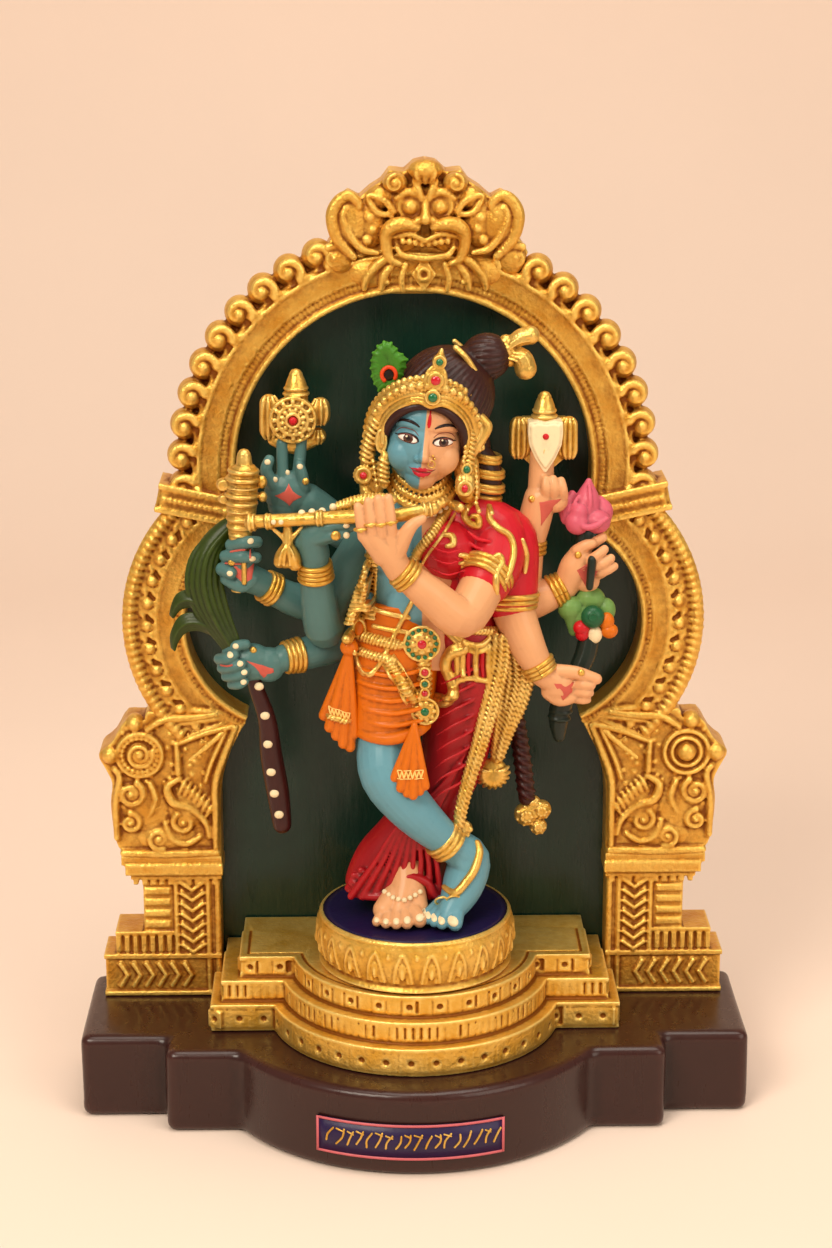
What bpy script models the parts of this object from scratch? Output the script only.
"""Painted doll group: an eight-armed flute player on a lotus seat, before a gilded arch.

The pieces are a stepped lacquered base, a gilded three-tier plinth, a round lotus seat, the
figure with all that its hands hold in one casting, the arch with its green back panel in one
casting, and a thin name plate. Sizes are in millimetres until each object is made, in metres.
X runs to the viewer's right, Y away from the viewer and Z up from the underside of the base.
"""

import math

import bmesh
import bpy
from mathutils import Matrix, Vector

MM = 0.001
FIT_GAP = 0.3
CAST_GAP = 1.0

# Stepped base
BASE_WIDTH = 254.0
BASE_HEIGHT = 33.0
BACK_LEDGE = 1.5
WING_LEDGE = 37.1
STEP_OUT = 13.4
BOW_OUT = 36.0
WING_WIDTH = 33.0
STEP_WIDTH = 28.0
BASE_ROUNDING = 4.0

# Arch casting: a back panel inside a raised, gilded frame
ARCH_THICKNESS = 22.0
PANEL_THICKNESS = 8.0
NICHE_RADIUS = 66.0
SPRING_HEIGHT = 211.0
FRAME_BAND = 13.0
CROCKET_REACH = 11.5
CROCKETS_A_SIDE = 11
LOBE_DROP = 59.0
LOBE_INSET = 45.0
LOBE_RADIUS = 44.5
LOBE_BAND = 19.0
LOBE_RIBS = 15
JAMB_HALF_OPENING = 75.0
PEDESTAL_HEIGHT = 58.0
PEDESTAL_WIDTH = 47.0
MAKARA_HEIGHT = 58.0
CREST_HEIGHT = 48.0
CREST_OFFSET = 4.2

# Three-tier plinth
TIER_HEIGHTS = (11.0, 8.5, 8.5)
TIER_HALF_WIDTHS = (78.0, 74.0, 67.0)
TIER_RADII = (56.0, 51.5, 47.0)
TIER_LEDGE = 3.3
TIER_BACK_LEDGE = 0.5
PLINTH_REACH = 33.2
BOW_CENTRE_BACK = 15.7
BLOCK_GROOVE = 1.3
BOW_BLOCKS = (13, 21, 11)

# Lotus seat
SEAT_RADIUS = 38.5
SEAT_HEIGHT = 20.0
SEAT_RIM = 4.0
SEAT_PETALS = 16
SEAT_CARVING = 1.7
SEAT_FORWARD = 10.0

# Name plate on the bow of the base
PLATE_WIDTH = 72.0
PLATE_HEIGHT = 14.0
PLATE_THICKNESS = 0.8
PLATE_RISE = 3.2
PLATE_SHIFT = -3.0

# Figure: its height is what the niche leaves above the seat
HEADROOM = 11.8
FIGURE_DESIGN_HEIGHT = 217.0

# Voxel sizes and triangle budgets of the two free-form castings
ARCH_VOXEL = 1.6
ARCH_TRIANGLES = 3400
FIGURE_VOXEL = 1.0
FIGURE_TRIANGLES = 4200

# Places that follow from the sizes above
BASE_DEPTH = BACK_LEDGE + ARCH_THICKNESS + WING_LEDGE + STEP_OUT + BOW_OUT
BASE_BACK = BASE_DEPTH / 2
ARCH_BACK = BASE_BACK - BACK_LEDGE
ARCH_FRONT = ARCH_BACK - ARCH_THICKNESS
PANEL_FRONT = ARCH_BACK - PANEL_THICKNESS
WING_FRONT = ARCH_FRONT - WING_LEDGE
STEP_FRONT = WING_FRONT - STEP_OUT
BOW_FRONT = STEP_FRONT - BOW_OUT
ARCH_FOOT = BASE_HEIGHT + FIT_GAP
SPRING_Z = BASE_HEIGHT + SPRING_HEIGHT
NICHE_TOP = SPRING_Z + NICHE_RADIUS
LOBE_Z = SPRING_Z - LOBE_DROP
PLINTH_FOOT = BASE_HEIGHT + FIT_GAP
PLINTH_TOP = PLINTH_FOOT + sum(TIER_HEIGHTS)
PLINTH_FRONT = ARCH_FRONT - PLINTH_REACH
BOW_CENTRE = PLINTH_FRONT + BOW_CENTRE_BACK
SEAT_Y = BOW_CENTRE - SEAT_FORWARD
SEAT_FOOT = PLINTH_TOP + FIT_GAP
SEAT_TOP = SEAT_FOOT + SEAT_HEIGHT
SOLE_Z = SEAT_TOP + FIT_GAP
FIGURE_HEIGHT = NICHE_TOP - HEADROOM - SOLE_Z
FIGURE_SCALE = FIGURE_HEIGHT / FIGURE_DESIGN_HEIGHT

# Colours: linear red, green, blue, then roughness and metallic
LACQUER = ((0.045, 0.016, 0.013), 0.28, 0.0)
GILT = ((0.62, 0.33, 0.05), 0.38, 0.85)
SEAT_GILT = ((0.66, 0.37, 0.06), 0.36, 0.85)
ARCH_GILT = ((0.58, 0.30, 0.045), 0.4, 0.85)
FIGURE_BLUE = ((0.13, 0.33, 0.40), 0.35, 0.0)
PLATE_BLUE = ((0.03, 0.012, 0.05), 0.4, 0.0)


def clear_scene():
    """Remove every object that the start-up scene holds."""
    for thing in list(bpy.data.objects):
        bpy.data.objects.remove(thing)


def collection(name):
    """A new collection in the scene."""
    made = bpy.data.collections.new(name)
    bpy.context.scene.collection.children.link(made)
    return made


def material(name, finish):
    """A Principled material of one colour, roughness and metallic value."""
    colour, roughness, metallic = finish
    made = bpy.data.materials.new(name)
    made.use_nodes = True
    shader = made.node_tree.nodes["Principled BSDF"]
    shader.inputs["Base Color"].default_value = (*colour, 1.0)
    shader.inputs["Roughness"].default_value = roughness
    shader.inputs["Metallic"].default_value = metallic
    made.diffuse_color = (*colour, 1.0)
    return made


def object_from(name, bm, finish, group):
    """Turn a bmesh in millimetres into a named object in metres."""
    bmesh.ops.scale(bm, vec=(MM, MM, MM), verts=bm.verts)
    mesh = bpy.data.meshes.new(name)
    bm.to_mesh(mesh)
    bm.free()
    made = bpy.data.objects.new(name, mesh)
    group.objects.link(made)
    if finish:
        mesh.materials.append(material(name + "_finish", finish))
    return made


def evaluated_mesh(thing):
    """A new mesh holding an object as its modifiers show it."""
    graph = bpy.context.evaluated_depsgraph_get()
    graph.update()
    return bpy.data.meshes.new_from_object(thing.evaluated_get(graph))


def outline_plate(outline, thickness):
    """A flat outline in the XY plane made solid around Z = 0, as a mesh."""
    bm = bmesh.new()
    verts = [bm.verts.new((across, along, -thickness / 2)) for across, along in outline]
    edges = [bm.edges.new(pair) for pair in zip(verts, verts[1:] + verts[:1])]
    flat = bmesh.ops.contextual_create(bm, geom=edges)["faces"]
    grown = bmesh.ops.extrude_face_region(bm, geom=flat, use_keep_orig=True)["geom"]
    lifted = [item for item in grown if isinstance(item, bmesh.types.BMVert)]
    bmesh.ops.translate(bm, vec=(0, 0, thickness), verts=lifted)
    bmesh.ops.recalc_face_normals(bm, faces=bm.faces)
    return bm


def polar(centre, radius, angle):
    """The point at a radius and an angle in degrees from a centre."""
    turn = math.radians(angle)
    return (centre[0] + radius * math.cos(turn), centre[1] + radius * math.sin(turn))


def arc(centre, radius, start, end, steps):
    """Points on an arc, from the start angle to the end angle in degrees."""
    return [polar(centre, radius, start + (end - start) * step / steps) for step in range(steps + 1)]


def mirrored(points):
    """The same points on the other side of X = 0, in the opposite order."""
    return [(-point[0], *point[1:]) for point in reversed(points)]


class Clay:
    """Loose closed forms, in millimetres, that a voxel skin fuses into one casting."""

    def __init__(self, place=None):
        """Start empty. The matrix puts every form that is added in its place."""
        self.bm = bmesh.new()
        self.place = place or Matrix.Identity(4)
        self.tubes = bpy.data.curves.new("tubes", "CURVE")
        self.tubes.dimensions = "3D"
        self.tubes.bevel_depth = 1.0
        self.tubes.bevel_resolution = 2
        self.tubes.use_fill_caps = True

    def limb(self, points, radii):
        """A round tube through the points, as thick at each as its radius, with round ends."""
        spline = self.tubes.splines.new("POLY")
        path = smooth_path([(*point, radius) for point, radius in zip(points, radii)])
        spline.points.add(len(path) - 1)
        for point, (x, y, z, radius) in zip(spline.points, path):
            at = self.place @ Vector((x, y, z))
            point.co = (*at, 1.0)
            point.radius = radius * self.place.median_scale
        self.ball(points[0], (radii[0],) * 3)
        self.ball(points[-1], (radii[-1],) * 3)

    def ball(self, centre, radii, turn=(0, 0, 0), rings=6):
        """An ellipsoid, turned about X, Y and Z by degrees."""
        spin = Matrix.Rotation(math.radians(turn[2]), 4, "Z")
        spin @= Matrix.Rotation(math.radians(turn[1]), 4, "Y")
        spin @= Matrix.Rotation(math.radians(turn[0]), 4, "X")
        shape = Matrix.Translation(centre) @ spin @ Matrix.Diagonal((*radii, 1.0))
        bmesh.ops.create_uvsphere(
            self.bm, u_segments=rings * 2, v_segments=rings, radius=1.0, matrix=self.place @ shape)

    def loft(self, sections, sides=16):
        """A closed skin over level ellipses: (x, y, z, half width, half depth) each."""
        loops = []
        for x, y, z, half_width, half_depth in sections:
            shape = Matrix.Translation((x, y, z)) @ Matrix.Diagonal((half_width, half_depth, 1, 1))
            made = bmesh.ops.create_circle(
                self.bm, segments=sides, radius=1.0, matrix=self.place @ shape)
            loops.append(made["verts"])
        for low, high in zip(loops, loops[1:]):
            bmesh.ops.bridge_loops(self.bm, edges=loop_edges(low) + loop_edges(high))
        for loop in (loops[0], loops[-1]):
            bmesh.ops.contextual_create(self.bm, geom=loop)

    def plate(self, outline, front, back, turn=Matrix.Identity(4)):
        """A flat outline in X and Z made solid between two depths in Y."""
        upright = Matrix.Translation((0, (front + back) / 2, 0)) @ Matrix.Rotation(math.pi / 2, 4, "X")
        flat = outline_plate(outline, back - front)
        flat.transform(self.place @ turn @ upright)
        mesh = bpy.data.meshes.new("plate")
        flat.to_mesh(mesh)
        flat.free()
        self.bm.from_mesh(mesh)
        bpy.data.meshes.remove(mesh)

    def block(self, low, high):
        """A box between two corners."""
        size = Vector(high) - Vector(low)
        middle = (Vector(high) + Vector(low)) / 2
        shape = Matrix.Translation(middle) @ Matrix.Diagonal((*size, 1.0))
        bmesh.ops.create_cube(self.bm, size=1.0, matrix=self.place @ shape)

    def cast(self, name, voxel, triangles, finish, group, cutters):
        """Fuse the forms into one named casting, trimmed flat by the cutters."""
        helper = bpy.data.objects.new("tubes", self.tubes)
        bpy.context.scene.collection.objects.link(helper)
        mesh = evaluated_mesh(helper)
        bpy.data.objects.remove(helper)
        self.bm.from_mesh(mesh)
        bpy.data.meshes.remove(mesh)
        bmesh.ops.recalc_face_normals(self.bm, faces=self.bm.faces)
        made = object_from(name, self.bm, finish, group)
        skin = made.modifiers.new("skin", "REMESH")
        skin.mode = "VOXEL"
        skin.voxel_size = voxel * MM
        soften = made.modifiers.new("soften", "SMOOTH")
        soften.factor = 0.4
        soften.iterations = 1
        dense = evaluated_mesh(made)
        dense.calc_loop_triangles()
        thin = made.modifiers.new("thin", "DECIMATE")
        thin.ratio = triangles / len(dense.loop_triangles)
        bpy.data.meshes.remove(dense)
        for cutter in cutters:
            trim = made.modifiers.new("trim", "BOOLEAN")
            trim.operation = "DIFFERENCE"
            trim.object = cutter
        return made


def loop_edges(verts):
    """The edges between the vertices of one loop."""
    ring = set(verts)
    return list({edge for vert in verts for edge in vert.link_edges if edge.other_vert(vert) in ring})


def smooth_path(points, steps=3):
    """A Catmull-Rom curve through points of any number of values."""
    found = []
    for index in range(len(points) - 1):
        before = points[max(index - 1, 0)]
        start, end = points[index], points[index + 1]
        after = points[min(index + 2, len(points) - 1)]
        for step in range(steps):
            t = step / steps
            found.append(tuple(
                0.5 * (2 * b + (c - a) * t + (2 * a - 5 * b + 4 * c - d) * t ** 2
                       + (3 * b - a - 3 * c + d) * t ** 3)
                for a, b, c, d in zip(before, start, end, after)))
    found.append(tuple(points[-1]))
    return found


def cutter_box(name, low, high, group):
    """A hidden box that trims a casting flat."""
    bm = bmesh.new()
    middle = [(a + b) / 2 for a, b in zip(low, high)]
    size = [b - a for a, b in zip(low, high)]
    shape = Matrix.Translation(middle) @ Matrix.Diagonal((*size, 1.0))
    bmesh.ops.create_cube(bm, size=1.0, matrix=shape)
    made = object_from(name, bm, None, group)
    made.hide_render = True
    made.display_type = "WIRE"
    return made


def make_base(group):
    """The lacquered base: two wings, two steps and a bowed front, with rounded edges."""
    half = BASE_WIDTH / 2
    wing_edge = half - WING_WIDTH
    bow_half = wing_edge - STEP_WIDTH
    radius = (bow_half ** 2 + BOW_OUT ** 2) / (2 * BOW_OUT)
    centre = (0.0, BOW_FRONT + radius)
    spread = math.degrees(math.asin(bow_half / radius))
    left = [(-half, BASE_BACK), (-half, WING_FRONT), (-wing_edge, WING_FRONT),
            (-wing_edge, STEP_FRONT)]
    bow = arc(centre, radius, 270 - spread, 270 + spread, 18)
    bm = outline_plate(left + bow + mirrored(left), BASE_HEIGHT)
    bmesh.ops.translate(bm, vec=(0, 0, BASE_HEIGHT / 2), verts=bm.verts)
    made = object_from("stepped_base", bm, LACQUER, group)
    rounding = made.modifiers.new("rounding", "BEVEL")
    rounding.width = BASE_ROUNDING * MM
    rounding.segments = 2
    rounding.limit_method = "ANGLE"
    rounding.angle_limit = math.radians(40)
    return made


def notched(start, end, blocks, depth, outward):
    """A straight front cut into blocks by square grooves, without its end points."""
    along = (Vector(end) - Vector(start))
    step = along / blocks
    side = step.normalized() * BLOCK_GROOVE / 2
    inward = -Vector(outward) * depth
    found = []
    for index in range(1, blocks):
        middle = Vector(start) + step * index
        for point in (middle - side, middle - side + inward, middle + side + inward, middle + side):
            found.append(tuple(point))
    return found


def tier_outline(tier, blocks):
    """One tier of the plinth seen from above, with its front cut into blocks."""
    half = TIER_HALF_WIDTHS[tier]
    radius = TIER_RADII[tier]
    front = PLINTH_FRONT + TIER_LEDGE * tier
    set_in = CAST_GAP + TIER_BACK_LEDGE * tier
    niche_half = min(half - 1, JAMB_HALF_OPENING - set_in)
    reach = BOW_CENTRE - front
    chord = math.sqrt(radius ** 2 - reach ** 2)
    start = 180 + math.degrees(math.asin(reach / radius))
    wide = 540 - 2 * start
    groove = math.degrees(BLOCK_GROOVE / radius)
    left = [(-niche_half, PANEL_FRONT - set_in), (-niche_half, ARCH_FRONT - set_in),
            (-half, ARCH_FRONT - set_in), (-half, front)]
    left += notched((-half, front), (-chord, front), 2, BLOCK_GROOVE, (0, -1))
    bow = [(-chord, front)]
    for index in range(1, blocks):
        middle = start + wide * index / blocks
        for angle, depth in ((-0.5, 0), (-0.5, BLOCK_GROOVE), (0.5, BLOCK_GROOVE), (0.5, 0)):
            bow.append(polar((0, BOW_CENTRE), radius - depth, middle + angle * groove))
    bow.append((chord, front))
    return left + bow + mirrored(left)


def join_tiers(group, cutters):
    """The plinth as one solid: each tier is a mesh of its own, joined by a Boolean union."""
    tiers = []
    foot = PLINTH_FOOT
    for tier, height in enumerate(TIER_HEIGHTS):
        sunk = 0.0 if tier == 0 else TIER_HEIGHTS[tier - 1] / 2
        bm = outline_plate(tier_outline(tier, BOW_BLOCKS[tier]), height + sunk)
        bmesh.ops.translate(bm, vec=(0, 0, foot + (height - sunk) / 2), verts=bm.verts)
        name = "tiered_plinth" if tier == 0 else f"plinth_tier_{tier}"
        tiers.append(object_from(name, bm, GILT if tier == 0 else None, cutters if tier else group))
        foot += height
    for upper in tiers[1:]:
        upper.hide_render = True
        upper.display_type = "WIRE"
        union = tiers[0].modifiers.new("tier", "BOOLEAN")
        union.operation = "UNION"
        union.object = upper
    return tiers[0]


def make_seat(group):
    """The lotus seat: a turned cushion with a ring of petals carved around it."""
    bm = bmesh.new()
    waist = SEAT_RADIUS - SEAT_RIM * 1.1
    profile = [(0.0, SEAT_HEIGHT), (SEAT_RADIUS - SEAT_RIM, SEAT_HEIGHT),
               (SEAT_RADIUS - SEAT_RIM * 0.2, SEAT_HEIGHT * 0.86), (SEAT_RADIUS, SEAT_HEIGHT * 0.58),
               (SEAT_RADIUS - SEAT_RIM * 0.3, SEAT_HEIGHT * 0.26), (waist, 0.0), (0.0, 0.0)]
    verts = [bm.verts.new((radius, 0.0, height)) for radius, height in profile]
    for low, high in zip(verts, verts[1:]):
        bm.edges.new((low, high))
    bmesh.ops.spin(bm, geom=bm.verts[:] + bm.edges[:], cent=(0, 0, 0), axis=(0, 0, 1),
                   angle=math.tau, steps=SEAT_PETALS * 4, use_merge=True)
    bmesh.ops.remove_doubles(bm, verts=bm.verts, dist=0.01)
    for vert in bm.verts:
        radius = math.hypot(vert.co.x, vert.co.y)
        if radius > waist and vert.co.z < SEAT_HEIGHT * 0.9:
            turn = math.atan2(vert.co.y, vert.co.x) * SEAT_PETALS
            belly = math.sin(math.pi * vert.co.z / SEAT_HEIGHT)
            swell = SEAT_CARVING * belly * (abs(math.cos(turn / 2)) - 0.6)
            vert.co.x *= 1 + swell / radius
            vert.co.y *= 1 + swell / radius
    bmesh.ops.recalc_face_normals(bm, faces=bm.faces)
    bmesh.ops.translate(bm, vec=(0, SEAT_Y, SEAT_FOOT), verts=bm.verts)
    return object_from("lotus_seat", bm, SEAT_GILT, group)


def make_name_plate(group):
    """A thin plate bent to the bow of the base."""
    bow_half = BASE_WIDTH / 2 - WING_WIDTH - STEP_WIDTH
    radius = (bow_half ** 2 + BOW_OUT ** 2) / (2 * BOW_OUT)
    centre = (0.0, BOW_FRONT + radius)
    inner = radius + FIT_GAP
    half = math.degrees(PLATE_WIDTH / 2 / inner)
    middle = 270 + math.degrees(PLATE_SHIFT / inner)
    outline = arc(centre, inner, middle - half, middle + half, 12)
    outline += arc(centre, inner + PLATE_THICKNESS, middle + half, middle - half, 12)
    bm = outline_plate(outline, PLATE_HEIGHT)
    low = BASE_ROUNDING + PLATE_RISE
    bmesh.ops.translate(bm, vec=(0, 0, low + PLATE_HEIGHT / 2), verts=bm.verts)
    return object_from("name_plate", bm, PLATE_BLUE, group)


def curl(clay, centre, radius, thickness, start, turns, depth, tail=()):
    """A scroll in relief: a tube that winds in to a round bead, with an optional tail outside."""
    points = [(x, depth, z) for x, z in tail]
    radii = [thickness * 0.6] * len(tail)
    steps = max(6, round(abs(turns) * 10))
    for step in range(steps + 1):
        share = step / steps
        reach = radius * (1 - 0.72 * share)
        angle = math.radians(start) + share * turns * math.tau
        points.append((centre[0] + reach * math.cos(angle), depth, centre[1] + reach * math.sin(angle)))
        radii.append(thickness * (1 - 0.35 * share))
    clay.limb(points, radii)
    clay.ball((centre[0], depth, centre[1]), (radius * 0.42, thickness * 1.5, radius * 0.42))


def sector(centre, inner, outer, start, end, steps):
    """The outline of a band between two arcs."""
    return arc(centre, outer, start, end, steps) + arc(centre, inner, end, start, steps)


def arch_panel(clay):
    """The flat ground of the niche, which also backs the whole frame."""
    spring = (0.0, SPRING_Z)
    outer = NICHE_RADIUS + FRAME_BAND * 0.5
    lobe = (LOBE_INSET, LOBE_Z)
    lobe_outer = LOBE_RADIUS + LOBE_BAND * 0.5
    clay.plate(arc(spring, outer, 0, 360, 48)[:-1], PANEL_FRONT, ARCH_BACK + 2)
    for side in (-1, 1):
        disc = arc((side * lobe[0], lobe[1]), lobe_outer, 0, 360, 36)[:-1]
        clay.plate(disc, PANEL_FRONT, ARCH_BACK + 2)
    half = JAMB_HALF_OPENING + PEDESTAL_WIDTH * 0.3
    clay.block((-half, PANEL_FRONT, ARCH_FOOT - 4), (half, ARCH_BACK + 2, LOBE_Z))


def arch_frame(clay):
    """The raised bands of the frame: the round head, the side lobes and the jambs."""
    spring = (0.0, SPRING_Z)
    back = ARCH_BACK + 2
    ridge = ARCH_FRONT + 1.2
    inner, outer = NICHE_RADIUS, NICHE_RADIUS + FRAME_BAND
    clay.plate(sector(spring, inner, outer + 2, -10, 190, 44), ridge, back)
    for radius in (inner + 1.4, inner + FRAME_BAND * 0.42, outer - 1.2):
        ring = [(x, ridge, z) for x, z in arc(spring, radius, -8, 188, 30)]
        clay.limb(ring, [1.5] * len(ring))
    for side in (-1, 1):
        lobe = (side * LOBE_INSET, LOBE_Z)
        start, end = (-63, 66) if side > 0 else (114, 243)
        far = LOBE_RADIUS + LOBE_BAND
        clay.plate(sector(lobe, LOBE_RADIUS, far - 3, start, end, 24), ridge, back)
        clay.plate(sector(lobe, far - 6, far, start + 6, end - 6, 24), ridge + 4, back)
        for radius in (LOBE_RADIUS + 1.3, LOBE_RADIUS + LOBE_BAND * 0.3, LOBE_RADIUS + LOBE_BAND * 0.58):
            ring = [(x, ridge, z) for x, z in arc(lobe, radius, start, end, 20)]
            clay.limb(ring, [1.4] * len(ring))


def crockets(clay):
    """Scrolls all round the head of the arch, each curling down and out."""
    reach = NICHE_RADIUS + FRAME_BAND + CROCKET_REACH * 0.48
    size = CROCKET_REACH * 0.52
    for side in (-1, 1):
        for index in range(CROCKETS_A_SIDE):
            angle = -3 + 66 * index / (CROCKETS_A_SIDE - 1)
            turn = math.radians(angle if side > 0 else 180 - angle)
            centre = (reach * math.cos(turn), SPRING_Z + reach * math.sin(turn))
            clay.ball((centre[0], (ARCH_FRONT + ARCH_BACK) / 2 + 3, centre[1]),
                      (size * 1.02, ARCH_THICKNESS * 0.5, size * 1.02))
            start = angle + 80 if side > 0 else 100 - angle
            curl(clay, centre, size * 0.8, 2.0, start, -side * 0.8, ARCH_FRONT + 1.6)


def lobe_leaves(clay):
    """A leafy scroll row and a ribbed outer rim on each side lobe."""
    for side in (-1, 1):
        for index in range(LOBE_RIBS):
            angle = -38 + 92 * index / (LOBE_RIBS - 1)
            turn = math.radians(angle if side > 0 else 180 - angle)
            near, far = LOBE_RADIUS + LOBE_BAND * 0.8, LOBE_RADIUS + LOBE_BAND - 0.8
            ends = [(side * LOBE_INSET + radius * math.cos(turn), ARCH_FRONT + 3.4,
                     LOBE_Z + radius * math.sin(turn)) for radius in (near, far)]
            clay.limb(ends, [1.5, 1.7])
            if index % 2 == 0:
                radius = LOBE_RADIUS + LOBE_BAND * 0.7
                centre = (side * LOBE_INSET + radius * math.cos(turn), LOBE_Z + radius * math.sin(turn))
                clay.ball((centre[0], ARCH_FRONT + 1.6, centre[1]), (2.8, 2.4, 2.8), rings=5)


def impost_bands(clay):
    """The slanting blocks where the round head meets the side lobes."""
    for side in (-1, 1):
        slant = Matrix.Translation((side * 82, 0, SPRING_Z - 12)) @ Matrix.Rotation(
            math.radians(-13 * side), 4, "Y")
        outline = [(-13, -6.5), (13, -6.5), (13, 6), (-13, 6)]
        clay.plate(outline, ARCH_FRONT - 1.5, ARCH_BACK, slant)
        rim = [(-9.5, -3.2), (9.5, -3.2), (9.5, 3.2), (-9.5, 3.2)]
        clay.plate(rim, ARCH_FRONT - 2.8, ARCH_BACK, slant)


def crest(clay):
    """The guardian mask over the head of the arch, with curls at its sides."""
    foot = NICHE_TOP
    middle = CREST_OFFSET
    front = ARCH_FRONT - 1.0
    rise = CREST_HEIGHT
    outline = [(-34, 3), (-34, 26), (-27, 37), (-18, 33), (-13, 41), (-7, 43), (-5, 48), (5, 48),
               (7, 43), (13, 41), (18, 33), (27, 37), (34, 26), (34, 3)]
    unit = rise / 48.0
    clay.plate([(middle + x * unit, foot + z * unit) for x, z in outline], front + 4, ARCH_BACK)

    def at(x, z, depth=0.0):
        return (middle + x * unit, front + depth, foot + z * unit)

    clay.ball(at(0, 44, 2), (7.0, 5.5, 4.2))
    for side in (-1, 1):
        clay.ball(at(side * 11, 38.5, 2), (5.6, 4.6, 4.4))
        clay.ball(at(side * 6, 31, 1), (3.6, 3.2, 3.0), rings=5)
        clay.limb([at(side * 2, 26, 0), at(side * 8, 25, -0.5), at(side * 12.5, 21, 0),
                   at(side * 13, 14, 1)], [2.6, 3.0, 2.6, 1.8])
        clay.limb([at(side * 14, 32, 1), at(side * 17, 27, 0), at(side * 12, 26, 1)], [2.2, 2.6, 1.6])
        clay.limb([at(side * 17, 8, 2), at(side * 25, 12, 1), at(side * 29, 22, 0), at(side * 27, 31, 0)],
                  [2.4, 3.0, 3.8, 5.0])
        clay.limb([at(side * 11, 12, 1), at(side * 14, 5, 1), at(side * 16, -6, 1.5)], [2.0, 3.2, 2.6])
        clay.limb([at(side * 5, 10, 1), at(side * 8, 4, 1), at(side * 10, -2, 1.5)], [1.6, 2.0, 1.6])
    clay.limb([at(0, 36, 1), at(0, 27, -1.5)], [2.4, 3.4])
    clay.limb([at(-9, 17, 1.5), at(0, 14, 0.5), at(9, 17, 1.5)], [2.4, 3.0, 2.4])
    clay.ball(at(0, 4, 1), (4.2, 3.2, 6.2), rings=5)


def makaras(clay):
    """The sea-beast blocks under the side lobes, rounded and covered with scrolls."""
    foot = BASE_HEIGHT + PEDESTAL_HEIGHT
    rise = MAKARA_HEIGHT / 58.0
    front = ARCH_FRONT + 1.0
    inner = JAMB_HALF_OPENING
    body = [(-2, -4), (-2, 28), (-10, 54), (8, 66), (24, 62), (36, 58), (45, 48), (43, 40), (41, 4),
            (36, -1)]
    scrolls = [(33, 45, 9.5), (33, 24, 7.0), (30, 9, 6.0), (16, 6, 6.5), (13, 22, 7.0)]
    for side in (-1, 1):
        clay.plate([(side * (inner + x), foot + z * rise) for x, z in body], front, ARCH_BACK)
        for x, z, size in scrolls:
            curl(clay, (side * (inner + x), foot + z * rise), size * 0.76, 2.3, 90, side * 0.9, front)
        clay.limb([(side * (inner + x), front, foot + z * rise) for x, z in
                   ((2, 6), (6, 18), (4, 32), (-4, 46), (-9, 54))], [2.2, 2.4, 2.2, 2.0, 1.6])
        clay.limb([(side * (inner + x), front, foot + z * rise) for x, z in
                   ((-8, 55), (4, 57), (16, 52))], [1.8, 2.6, 2.0])
        clay.ball((side * (inner + 26), front, foot + 60 * rise), (4.5, 4.5, 4.0), rings=5)


def pedestals(clay):
    """The stepped blocks that carry the arch, with a row of chevrons down each."""
    foot = ARCH_FOOT
    top = BASE_HEIGHT + PEDESTAL_HEIGHT
    inner = JAMB_HALF_OPENING
    front = ARCH_FRONT
    outer = inner + PEDESTAL_WIDTH
    levels = [(foot - 4, foot + 17, 0.0, 0.0), (foot + 15, foot + 27, 4.5, 1.2),
              (foot + 25, foot + 48, 13.5, 2.4), (top - 11, top + 1, 8.0, 0.0)]
    for side in (-1, 1):
        for low, high, inset, back_off in levels:
            x_low, x_high = sorted((side * inner, side * (outer - inset)))
            clay.block((x_low, front + back_off, low), (x_high, ARCH_BACK + 2, high))
        for step in range(6):
            low = foot + 9 + step * 6.6
            x = side * (inner + 12)
            clay.limb([(x - 4.5, front, low + 3), (x, front, low), (x + 4.5, front, low + 3)],
                      [1.6] * 3)
        for step in range(4):
            x = side * (inner + 21 + step * 6.2)
            clay.limb([(x - side * 2.4, front, foot + 4.5), (x, front, foot + 8.5),
                       (x - side * 2.4, front, foot + 12.5)], [1.5] * 3)


def make_arch(group, cutters):
    """The whole arch casting, trimmed flat behind and underneath."""
    clay = Clay()
    for build in (arch_panel, arch_frame, crockets, lobe_leaves, impost_bands, crest, makaras, pedestals):
        build(clay)
    half = BASE_WIDTH
    tall = NICHE_TOP + CREST_HEIGHT + 20
    behind = cutter_box("arch_back_cutter", (-half, ARCH_BACK, 0), (half, ARCH_BACK + 30, tall), cutters)
    below = cutter_box("arch_foot_cutter", (-half, 0, ARCH_FOOT - 30), (half, ARCH_BACK + 40, ARCH_FOOT),
                       cutters)
    return clay.cast("arch_with_panel", ARCH_VOXEL, ARCH_TRIANGLES, ARCH_GILT, group, (behind, below))


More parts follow.
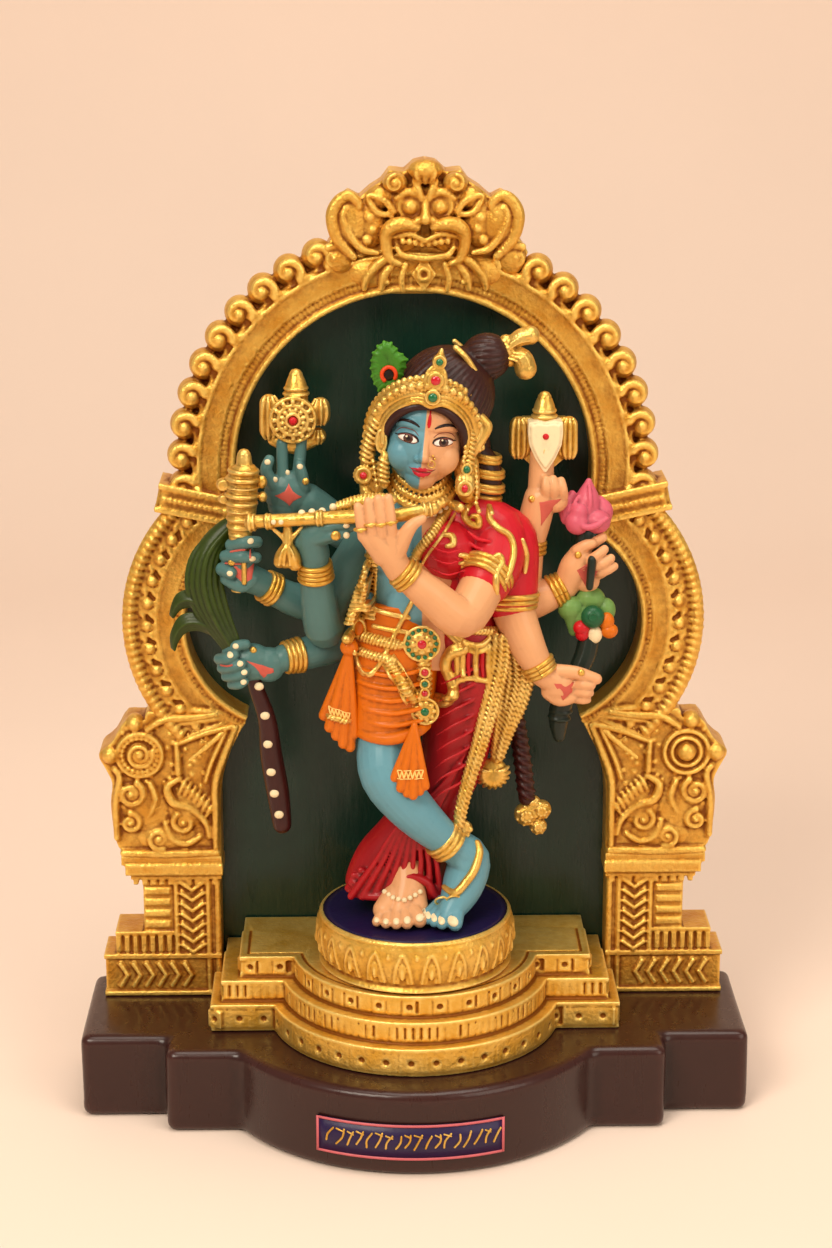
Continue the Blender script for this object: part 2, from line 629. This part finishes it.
def body_and_clothes(clay):
    """Torso, the short kilt over one thigh and the long skirt over the other leg."""
    clay.loft([(3.5, -1, 162, 7.5, 7.5), (4, -1, 154, 9.5, 8.5), (6, -1, 148, 21, 10),
               (6.5, -1, 141, 25, 11.5), (4, -2, 130, 22, 13), (2, -2, 118, 19.5, 11.5),
               (2, -1, 108, 20, 11.5), (4, 0, 96, 28, 14)])
    clay.ball((15, -9, 131), (10.5, 8, 10))
    clay.loft([(-6, -2, 112, 18, 12), (-8, -2, 100, 19, 14.5), (-9.5, -3, 86, 17.5, 15),
               (-10, -4, 69, 16.5, 14.5)])
    for row in range(4):
        drop = 95 - row * 8
        clay.limb([(-26, -4, drop + 1), (-18, -14, drop), (-6, -18.5, drop - 1.5), (4, -17, drop)],
                  [1.5, 1.7, 1.7, 1.3])
    clay.loft([(14, 0, 114, 15, 11), (19, 1, 100, 16, 14), (20, 1, 88, 15.5, 14), (17, 1, 70, 14, 12.5),
               (12, 1, 52, 13, 11.5), (3, 1, 36, 14.5, 11), (-4, 1, 24, 17.5, 11.5), (-8, 0, 12, 19.5, 12),
               (-8, 0, 7, 18.5, 11)])
    for shift in (-18, -10, -2, 6):
        clay.limb([(9 + shift * 0.3, -10, 40), (-3 + shift * 0.6, -11.5, 24), (-7 + shift, -12.5, 9)],
                  [1.2, 1.9, 2.5])
    for drop in (96, 84, 72, 60):
        clay.limb([(13 + (drop - 60) * 0.15, -13, drop - 6), (22 + (drop - 60) * 0.12, -12, drop),
                   (24 + (drop - 60) * 0.3, -6, drop + 4)], [1.2, 1.5, 1.2])


def legs(clay):
    """The bare leg that crosses in front, on its toes, and the foot under the skirt."""
    clay.limb([(-11, -5, 88), (-11.5, -9, 70), (-11, -15, 57), (0, -16, 43), (13, -12, 27)],
              [12, 10, 9.2, 7.6, 5.4])
    clay.limb([(13, -12, 27), (21, -6, 20), (24, -3, 14)], [5.4, 6.4, 5.6])
    clay.limb([(22, -6, 16), (17, -14, 9), (13, -20, 4)], [6.4, 6.0, 4.6])
    for index in range(5):
        clay.ball((5.5 + index * 3.6, -21.5 - index * 1.0, 2.6), (2.0 + index * 0.28, 2.8, 2.2), rings=5)
    clay.limb([(-3, -3, 14), (-5, -11, 7), (-7, -17, 4)], [6.0, 6.2, 4.6])
    for index in range(5):
        clay.ball((-15.2 + index * 4.3, -20.5, 2.4), (2.2, 3.0, 2.4), rings=5)
    clay.limb([(-15, -16, 4), (-7, -15, 5), (2, -15, 5)], [3.4, 4.4, 3.8])


ARMS = {
    "flute_blue": ([(-17, 1, 141), (-31, -3, 121), (-33, -7, 111), (-35, -13, 124), (-36, -17, 139)],
                   [8.5, 7.0, 6.6, 6.0, 4.8]),
    "goad": ([(-14, 6, 136), (-28, 6, 118), (-42, 2, 119), (-55, -4, 127)], [8.0, 7.0, 6.2, 4.8]),
    "cane": ([(-14, 5, 128), (-25, 4, 106), (-36, 0, 101), (-48, -5, 101)], [8.0, 7.0, 6.0, 4.8]),
    "discus": ([(-12, 8, 144), (-25, 12, 142), (-33, 11, 150), (-40, 9, 157)], [7.5, 6.5, 6.0, 6.0]),
    "flute_fair": ([(31, -2, 141), (24, -16, 130), (16, -27, 121), (5, -31, 130), (-6, -32, 140)],
                   [9.5, 8.0, 7.4, 6.4, 5.0]),
    "arrow": ([(34, 2, 140), (35, -4, 120), (40, -8, 106), (46.5, -9, 94)], [9.0, 8.0, 6.4, 4.6]),
    "conch": ([(32, 8, 138), (38, 8, 119), (40, 8, 128), (42, 8, 141)], [8.0, 7.2, 6.6, 5.2]),
    "noose": ([(32, 7, 132), (37, 5, 118), (46, 5, 119), (55, 6, 123)], [8.0, 7.0, 6.2, 4.8]),
}

HANDS = {
    "flute_blue": ((-30, -19, 147), (7.5, 4.5, 5.5)),
    "goad": ((-63, -9, 137), (6.5, 6.5, 8.0)),
    "cane": ((-62, -9, 101), (7.5, 6.5, 7.0)),
    "discus": ((-45, 8, 161), (9.5, 6.0, 8.5)),
    "flute_fair": ((-12, -32, 152), (6.5, 5.0, 8.0)),
    "arrow": ((57, -8, 90), (8.0, 5.0, 5.5)),
    "conch": ((49, 8, 156), (7.0, 5.5, 8.0)),
    "noose": ((64, 7, 131), (7.5, 5.5, 7.5)),
}


def arms_and_hands(clay):
    """Eight arms, each with a fist and a stack of bangles at its wrist."""
    for name, (points, radii) in ARMS.items():
        clay.limb(points, radii)
        centre, size = HANDS[name]
        clay.ball(centre, size)
        clay.limb([points[-1], centre], [radii[-1], min(size) * 0.9])
        wrist, before = Vector(points[-1]), Vector(points[-2])
        back = (before - wrist).normalized() * 2.6
        clay.limb([tuple(wrist - back * 0.2), tuple(wrist + back)], [radii[-1] + 1.2] * 2)
    for row in range(4):
        along = row * 3.5
        clay.limb([(-19 + along, -34, 152 - row * 0.3), (-19.5 + along, -36.5, 157),
                   (-19 + along, -33, 160.5)], [1.9, 1.9, 1.7])
    clay.loft([(24, -13, 127, 10, 8), (29, -7, 133, 11.5, 9.5), (31, -1, 143, 11, 10)])
    clay.loft([(35, -4, 121, 10, 9.5), (35, 0, 133, 11, 10), (33, 1, 143, 10, 10)])


def head(clay):
    """Head with its broad headband, hair cap, knot, side drops and feather."""
    clay.limb([(3.5, -1, 154), (3.5, -2, 168)], [7.6, 7.6])
    clay.ball((3.4, -3.5, 184), (15.6, 15.5, 19.5), (0, 4, 0), rings=8)
    clay.ball((3.2, -9, 171), (8.5, 7.5, 7.0))
    clay.ball((3.2, -18.6, 181), (1.8, 2.0, 3.0), rings=5)
    clay.ball((11, 1, 197), (18, 16.5, 17), (0, 24, 0), rings=8)
    band = arc((4.5, 184), 19.5, -38, 218, 18)
    clay.limb([(x + (z - 184) * 0.1, -10.5 + abs(x - 4.5) * 0.28, z) for x, z in band], [3.0] * len(band))
    clay.ball((7.2, -15, 209), (4.2, 3.0, 5.0), rings=5)
    for side in (-1, 1):
        clay.limb([(5 + side * 19, -5, 186), (4.5 + side * 19.5, -6, 175), (4.5 + side * 18.5, -7, 164)],
                  [3.2, 3.6, 4.4])
    clay.limb([(20, 3, 205), (23, 4, 207)], [11.0, 10.5])
    clay.ball((26, 4, 210), (9.5, 9.0, 9.0))
    clay.limb([(33, 4, 213), (38, 3, 215), (41, 2, 211)], [4.2, 4.6, 4.2])
    clay.ball((39, 3, 208), (3.8, 3.4, 4.8), rings=5)
    clay.limb([(22, 5, 176), (27, 5, 166), (26, 5, 158)], [6.0, 7.0, 6.0])
    clay.ball((-9.5, -6, 207), (7.0, 2.4, 9.5), (0, -14, 0))


def ornaments(clay):
    """Collar, chains, belts, the jewelled clasp, sashes and the gilded pleats."""
    clay.limb([(-14, -9, 158), (-6, -13, 154), (4, -15, 152), (14, -13, 154), (22, -9, 158)], [2.6] * 5)
    clay.limb([(-24, -3, 158), (-14, -9, 154), (-4, -13, 150)], [2.6, 2.6, 2.0])
    clay.limb([(-12, -12, 132), (-16, -13, 118), (-20, -13, 108), (-19, -13, 100)], [2.4, 3.4, 3.8, 2.6])
    clay.limb([(-21, -10, 108), (-8, -15, 105), (6, -16, 103), (22, -14, 107), (33, -6, 112)], [2.4] * 5)
    clay.limb([(-21, -11, 102), (-8, -16, 100), (6, -18, 99), (20, -14, 102)], [1.9] * 4)
    clay.ball((2.5, -18.5, 107), (7.0, 2.6, 7.0))
    clay.limb([(3.5, -19, 100), (4, -20.5, 88)], [3.0, 2.6])
    clay.ball((4, -21, 83), (5.0, 2.4, 5.0))
    clay.limb([(5, -21, 83), (10.5, -19, 88), (11, -18, 96), (17, -15, 101), (27, -11, 99)], [1.7] * 5)
    clay.limb([(-13, -17, 97), (-6, -19.5, 88), (-1, -20.5, 82)], [1.8] * 3)
    clay.limb([(-23, -9, 99), (-25.5, -9, 86), (-27, -8, 73)], [3.2, 4.6, 5.6])
    clay.limb([(4, -20, 78), (0, -22, 66), (-2, -23, 56)], [3.6, 5.4, 6.2])
    clay.limb([(34, -3, 116), (36, -2, 100), (33, 1, 84), (30, 2, 68), (28, 2, 57)],
              [5.0, 7.2, 6.8, 5.0, 3.6])
    clay.limb([(31, -8, 108), (29, -8, 90), (24, -7, 70), (18, -6, 48), (14, -5, 32)],
              [3.4, 3.6, 3.4, 3.0, 2.8])
    clay.ball((37, -2, 88), (7.5, 5.0, 6.5))
    clay.ball((28, 2, 52), (5.5, 4.5, 5.0))
    clay.ball((17, -5, 27), (4.2, 3.6, 5.0))
    clay.limb([(9, -14, 34), (14, -13, 29), (18, -9, 31)], [3.2, 8.4, 3.2])


def held_things(clay):
    """Flute, discus, conch, goad, lotus, flower arrows and the sugar-cane bow."""
    clay.limb([(-58.5, -20, 155.5), (-36, -23, 156.5), (-12, -29, 159.5), (5.5, -28, 161)],
              [2.7, 2.6, 2.5, 2.4])
    clay.limb([(-45.5, -20, 154), (-45.5, -19, 144), (-44, -19, 140)], [2.2, 3.4, 3.0])
    clay.limb([(-48, -8, 158), (-58, -12, 154)], [2.6, 2.6])
    clay.loft([(-63, -9, 141, 4.4, 4.4), (-62.6, -10, 149, 4.6, 4.6), (-62, -10, 156, 6.6, 5.6),
               (-61.6, -10, 165, 7.0, 6.0), (-61, -10, 171, 5.2, 5.0), (-60.8, -10, 177, 3.2, 3.2)])
    clay.ball((-69, -9, 163), (4.2, 3.6, 3.6), rings=5)
    clay.ball((-53, -9, 163), (3.6, 3.4, 3.6), rings=5)
    clay.limb([(-44, 8, 166), (-43.5, 9, 178)], [4.8, 4.2])
    clay.plate([(-44 + x, 187 + z) for x, z in arc((0, 0), 9.4, 0, 360, 20)[:-1]], 5.4, 11.2)
    clay.block((-57, 6.2, 179.5), (-50, 10.8, 193))
    clay.block((-38, 6.2, 179), (-31.5, 10.8, 192.5))
    clay.ball((-43.2, 8.4, 199), (3.6, 3.0, 6.0), rings=5)
    clay.limb([(47, 10, 160), (46.5, 11, 172)], [5.0, 5.6])
    shield = ((-7.4, 9), (7.4, 9), (6.8, 2), (0, -12), (-6.8, 2))
    clay.plate([(46.6 + x, 178 + z) for x, z in shield], 6.4, 14.0)
    clay.block((35, 9, 170.5), (40.5, 14, 188))
    clay.block((52, 9, 172), (58.5, 14, 186.5))
    clay.ball((46.5, 11.4, 192), (4.4, 3.6, 5.6), rings=5)
    clay.limb([(58, 8, 137), (62, 8, 143), (63, 9, 149)], [2.4, 2.2, 2.6])
    clay.ball((63, 9.5, 152), (9.0, 6.5, 6.5))
    clay.ball((62.5, 9.5, 159), (5.0, 4.6, 5.6), rings=5)
    clay.ball((57.5, 10, 153), (4.6, 4.4, 4.8), rings=5)
    clay.limb([(60, -2, 97), (62, 3, 104), (64, 5, 110)], [2.8, 2.8, 3.0])
    clay.ball((63.5, 5.4, 113), (9.4, 5.0, 8.0))
    clay.ball((66, 1.5, 110), (5.4, 4.4, 5.2), rings=5)
    clay.ball((60.5, 2.4, 105), (4.4, 3.6, 4.8), rings=5)
    clay.ball((66.5, 2.4, 103), (4.4, 3.6, 4.6), rings=5)
    clay.ball((71, 3.4, 107), (4.4, 3.6, 5.4), rings=5)
    clay.limb([(-62, -8, 107), (-59.5, -8, 95), (-55, -4, 76), (-53, 0, 56), (-50.4, 3, 35)],
              [3.0, 3.4, 3.6, 3.8, 4.6])
    clay.limb([(-61, -8, 104), (-66, -7, 122), (-71, -5, 138), (-65, -3, 150), (-58.5, -2, 156)],
              [2.8, 5.0, 6.2, 5.4, 3.6])
    clay.limb([(-64, -8, 112), (-74, -7, 124), (-83, -6, 123), (-87, -5, 112), (-86.5, -5, 103)],
              [3.2, 3.6, 3.0, 2.6, 1.8])
    clay.limb([(-68, -7, 122), (-77, -6, 132), (-84, -5, 130), (-88, -5, 122)], [3.4, 3.4, 2.6, 1.6])
    clay.limb([(33, 5, 92), (37.5, 8, 70), (42, 9, 54), (46, 9.5, 38)], [3.2, 3.2, 3.2, 3.4])
    for x, z in ((-3.5, -1), (3.5, 0), (0, -4), (-1, 4), (5.5, -4.5)):
        clay.ball((46 + x, 9.5, 35 + z), (3.6, 3.6, 3.6), rings=5)


def make_figure(group, cutters):
    """The figure with its clothes, ornaments and attributes, as one casting."""
    place = Matrix.Translation((0, SEAT_Y, SOLE_Z)) @ Matrix.Scale(FIGURE_SCALE, 4)
    clay = Clay(place)
    for build in (body_and_clothes, legs, arms_and_hands, head, ornaments, held_things):
        build(clay)
    half = BASE_WIDTH
    below = cutter_box("sole_cutter", (-half, -half, SOLE_Z - 30), (half, half, SOLE_Z), cutters)
    return clay.cast("eight_armed_figure", FIGURE_VOXEL, FIGURE_TRIANGLES, FIGURE_BLUE, group, (below,))


def main():
    """Build every piece in its place."""
    clear_scene()
    pieces = collection("flute_player_group")
    cutters = collection("cutters")
    make_base(pieces)
    join_tiers(pieces, cutters)
    make_seat(pieces)
    make_name_plate(pieces)
    make_arch(pieces, cutters)
    make_figure(pieces, cutters)


main()
